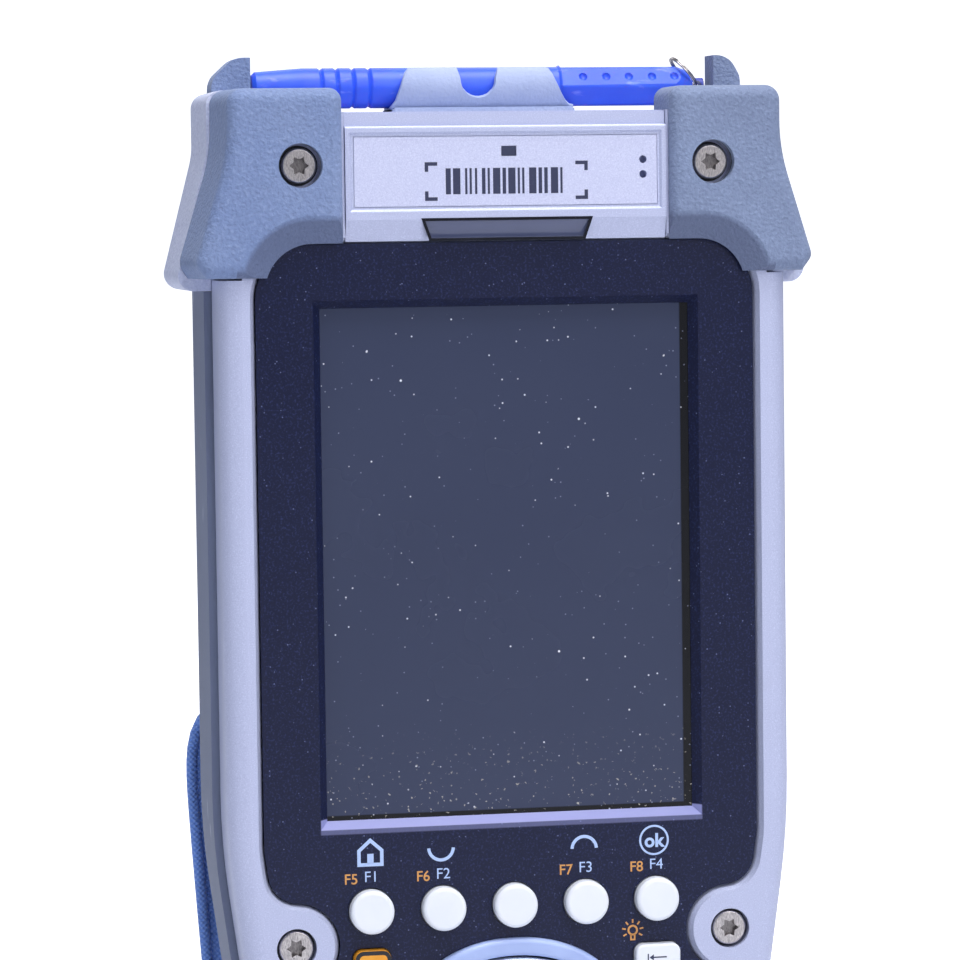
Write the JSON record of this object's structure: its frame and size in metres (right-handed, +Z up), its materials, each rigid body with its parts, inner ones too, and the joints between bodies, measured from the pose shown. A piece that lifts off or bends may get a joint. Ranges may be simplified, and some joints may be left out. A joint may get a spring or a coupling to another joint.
{
  "type": "rugged handheld data terminal",
  "caption": "Rugged handheld data terminal with a touch display, keypad, corner bumpers, a stylus clipped across its top and a hand strap.",
  "frame": {"origin": "middle of the flat base that it stands on", "axes": "+Z up along the body, +X to the right seen from the display, -Y out of the display"},
  "size_m": [0.1004, 0.0536, 0.193],
  "materials": {
    "silver_paint": "satin metallic paint",
    "label_silver": "satin printed label",
    "grey_plastic": "fine textured",
    "navy_plastic": "fine textured satin",
    "screen_glass": "clear, slightly matt",
    "display_grey": "unlit display",
    "white_plastic": "moulded",
    "black_rubber": "matt",
    "key_rubber": "matt",
    "board_green": "solder mask",
    "nav_silver": "satin",
    "nav_pale": "satin",
    "bumper_rubber": "fine leather-like texture",
    "dark_lens": "polished",
    "screw_steel": "bright",
    "stylus_blue": "satin",
    "ring_steel": "polished",
    "dark_plastic": "fine textured",
    "engine_metal": "cast",
    "scan_red": "polished dark red",
    "strap_web": "woven webbing",
    "strap_blue": "woven nylon over foam",
    "key_white": "satin",
    "key_gold": "satin",
    "key_blue": "satin"
  },
  "bodies": {
    "casing": {"front_housing": "silver_paint", "back_housing": "grey_plastic", "head_shell": "silver_paint", "keypad_bezel": "navy_plastic", "touch_panel": "screen_glass", "lcd_panel": "display_grey", "backlight_tray": "white_plastic", "housing_gasket": "black_rubber", "keypad_membrane": "key_rubber", "keypad_board": "board_green", "main_board": "board_green", "nav_ring": "nav_silver", "bumper_left": "bumper_rubber", "bumper_right": "bumper_rubber", "top_cover": "silver_paint", "name_plate": "label_silver", "status_lens": "dark_lens", "bumper_screws": "screw_steel", "housing_screws": "screw_steel", "stylus_holder": "bumper_rubber", "battery_pack": "dark_plastic", "scan_engine": "engine_metal", "scan_window": "scan_red", "dock_connector": "dark_plastic", "speaker": "engine_metal", "strap_pins": "screw_steel", "strap_webbing": "strap_web", "strap_pad": "strap_blue"},
    "app_key_1": {"app_key_1": "key_white"},
    "app_key_2": {"app_key_2": "key_white"},
    "app_key_3": {"app_key_3": "key_white"},
    "app_key_4": {"app_key_4": "key_white"},
    "app_key_5": {"app_key_5": "key_white"},
    "key_gold": {"key_gold": "key_gold"},
    "key_blue": {"key_blue": "key_blue"},
    "key_tab": {"key_tab": "key_white"},
    "key_esc": {"key_esc": "key_white"},
    "key_left_1": {"key_left_1": "key_white"},
    "key_1": {"key_1": "key_white"},
    "key_2": {"key_2": "key_white"},
    "key_3": {"key_3": "key_white"},
    "key_right_1": {"key_right_1": "key_white"},
    "key_left_2": {"key_left_2": "key_white"},
    "key_4": {"key_4": "key_white"},
    "key_5": {"key_5": "key_white"},
    "key_6": {"key_6": "key_white"},
    "key_right_2": {"key_right_2": "key_white"},
    "key_left_3": {"key_left_3": "key_white"},
    "key_7": {"key_7": "key_white"},
    "key_8": {"key_8": "key_white"},
    "key_9": {"key_9": "key_white"},
    "key_right_3": {"key_right_3": "key_white"},
    "key_power": {"key_power": "key_white"},
    "key_0": {"key_0": "key_white"},
    "key_enter": {"key_enter": "key_white"},
    "nav_carrier": {"nav_carrier": "white_plastic"},
    "nav_pad": {"nav_pad": "nav_pale"},
    "stylus": {"stylus": "stylus_blue"},
    "stylus_ring": {"stylus_ring": "ring_steel"},
    "battery_latch": {"battery_latch": "dark_plastic"}
  },
  "joints": [
    {"name": "app_key_1_press", "type": "slide", "parent": "casing", "child": "app_key_1", "axis": [0, 1, 0], "range_m": [0, 0.0008], "stiffness_N_per_m": 800},
    {"name": "app_key_2_press", "type": "slide", "parent": "casing", "child": "app_key_2", "axis": [0, 1, 0], "range_m": [0, 0.0008], "stiffness_N_per_m": 800},
    {"name": "app_key_3_press", "type": "slide", "parent": "casing", "child": "app_key_3", "axis": [0, 1, 0], "range_m": [0, 0.0008], "stiffness_N_per_m": 800},
    {"name": "app_key_4_press", "type": "slide", "parent": "casing", "child": "app_key_4", "axis": [0, 1, 0], "range_m": [0, 0.0008], "stiffness_N_per_m": 800},
    {"name": "app_key_5_press", "type": "slide", "parent": "casing", "child": "app_key_5", "axis": [0, 1, 0], "range_m": [0, 0.0008], "stiffness_N_per_m": 800},
    {"name": "key_gold_press", "type": "slide", "parent": "casing", "child": "key_gold", "axis": [0, 1, 0], "range_m": [0, 0.0008], "stiffness_N_per_m": 800},
    {"name": "key_blue_press", "type": "slide", "parent": "casing", "child": "key_blue", "axis": [0, 1, 0], "range_m": [0, 0.0008], "stiffness_N_per_m": 800},
    {"name": "key_tab_press", "type": "slide", "parent": "casing", "child": "key_tab", "axis": [0, 1, 0], "range_m": [0, 0.0008], "stiffness_N_per_m": 800},
    {"name": "key_esc_press", "type": "slide", "parent": "casing", "child": "key_esc", "axis": [0, 1, 0], "range_m": [0, 0.0008], "stiffness_N_per_m": 800},
    {"name": "key_left_1_press", "type": "slide", "parent": "casing", "child": "key_left_1", "axis": [0, 1, 0], "range_m": [0, 0.0008], "stiffness_N_per_m": 800},
    {"name": "key_1_press", "type": "slide", "parent": "casing", "child": "key_1", "axis": [0, 1, 0], "range_m": [0, 0.0008], "stiffness_N_per_m": 800},
    {"name": "key_2_press", "type": "slide", "parent": "casing", "child": "key_2", "axis": [0, 1, 0], "range_m": [0, 0.0008], "stiffness_N_per_m": 800},
    {"name": "key_3_press", "type": "slide", "parent": "casing", "child": "key_3", "axis": [0, 1, 0], "range_m": [0, 0.0008], "stiffness_N_per_m": 800},
    {"name": "key_right_1_press", "type": "slide", "parent": "casing", "child": "key_right_1", "axis": [0, 1, 0], "range_m": [0, 0.0008], "stiffness_N_per_m": 800},
    {"name": "key_left_2_press", "type": "slide", "parent": "casing", "child": "key_left_2", "axis": [0, 1, 0], "range_m": [0, 0.0008], "stiffness_N_per_m": 800},
    {"name": "key_4_press", "type": "slide", "parent": "casing", "child": "key_4", "axis": [0, 1, 0], "range_m": [0, 0.0008], "stiffness_N_per_m": 800},
    {"name": "key_5_press", "type": "slide", "parent": "casing", "child": "key_5", "axis": [0, 1, 0], "range_m": [0, 0.0008], "stiffness_N_per_m": 800},
    {"name": "key_6_press", "type": "slide", "parent": "casing", "child": "key_6", "axis": [0, 1, 0], "range_m": [0, 0.0008], "stiffness_N_per_m": 800},
    {"name": "key_right_2_press", "type": "slide", "parent": "casing", "child": "key_right_2", "axis": [0, 1, 0], "range_m": [0, 0.0008], "stiffness_N_per_m": 800},
    {"name": "key_left_3_press", "type": "slide", "parent": "casing", "child": "key_left_3", "axis": [0, 1, 0], "range_m": [0, 0.0008], "stiffness_N_per_m": 800},
    {"name": "key_7_press", "type": "slide", "parent": "casing", "child": "key_7", "axis": [0, 1, 0], "range_m": [0, 0.0008], "stiffness_N_per_m": 800},
    {"name": "key_8_press", "type": "slide", "parent": "casing", "child": "key_8", "axis": [0, 1, 0], "range_m": [0, 0.0008], "stiffness_N_per_m": 800},
    {"name": "key_9_press", "type": "slide", "parent": "casing", "child": "key_9", "axis": [0, 1, 0], "range_m": [0, 0.0008], "stiffness_N_per_m": 800},
    {"name": "key_right_3_press", "type": "slide", "parent": "casing", "child": "key_right_3", "axis": [0, 1, 0], "range_m": [0, 0.0008], "stiffness_N_per_m": 800},
    {"name": "key_power_press", "type": "slide", "parent": "casing", "child": "key_power", "axis": [0, 1, 0], "range_m": [0, 0.0008], "stiffness_N_per_m": 800},
    {"name": "key_0_press", "type": "slide", "parent": "casing", "child": "key_0", "axis": [0, 1, 0], "range_m": [0, 0.0008], "stiffness_N_per_m": 800},
    {"name": "key_enter_press", "type": "slide", "parent": "casing", "child": "key_enter", "axis": [0, 1, 0], "range_m": [0, 0.0008], "stiffness_N_per_m": 800},
    {"name": "nav_left_right", "type": "hinge", "parent": "casing", "child": "nav_carrier", "pos_m": [0, -0.0133, 0.0444], "axis": [0, 0, 1], "range_deg": [-3, 3], "stiffness_Nm_per_rad": 0.2},
    {"name": "nav_up_down", "type": "hinge", "parent": "nav_carrier", "child": "nav_pad", "pos_m": [0, -0.0133, 0.0444], "axis": [1, 0, 0], "range_deg": [-3, 3], "stiffness_Nm_per_rad": 0.2},
    {"name": "stylus_lift", "type": "slide", "parent": "casing", "child": "stylus", "axis": [0, 0, 1], "range_m": [0, 0.025]},
    {"name": "ring_swing", "type": "hinge", "parent": "stylus", "child": "stylus_ring", "pos_m": [0.0352, 0.004, 0.1882], "axis": [0, 1, 0], "range_deg": [0, 48]},
    {"name": "latch_slide", "type": "slide", "parent": "casing", "child": "battery_latch", "axis": [0, 0, 1], "range_m": [0, 0.0032], "stiffness_N_per_m": 400}
  ]
}
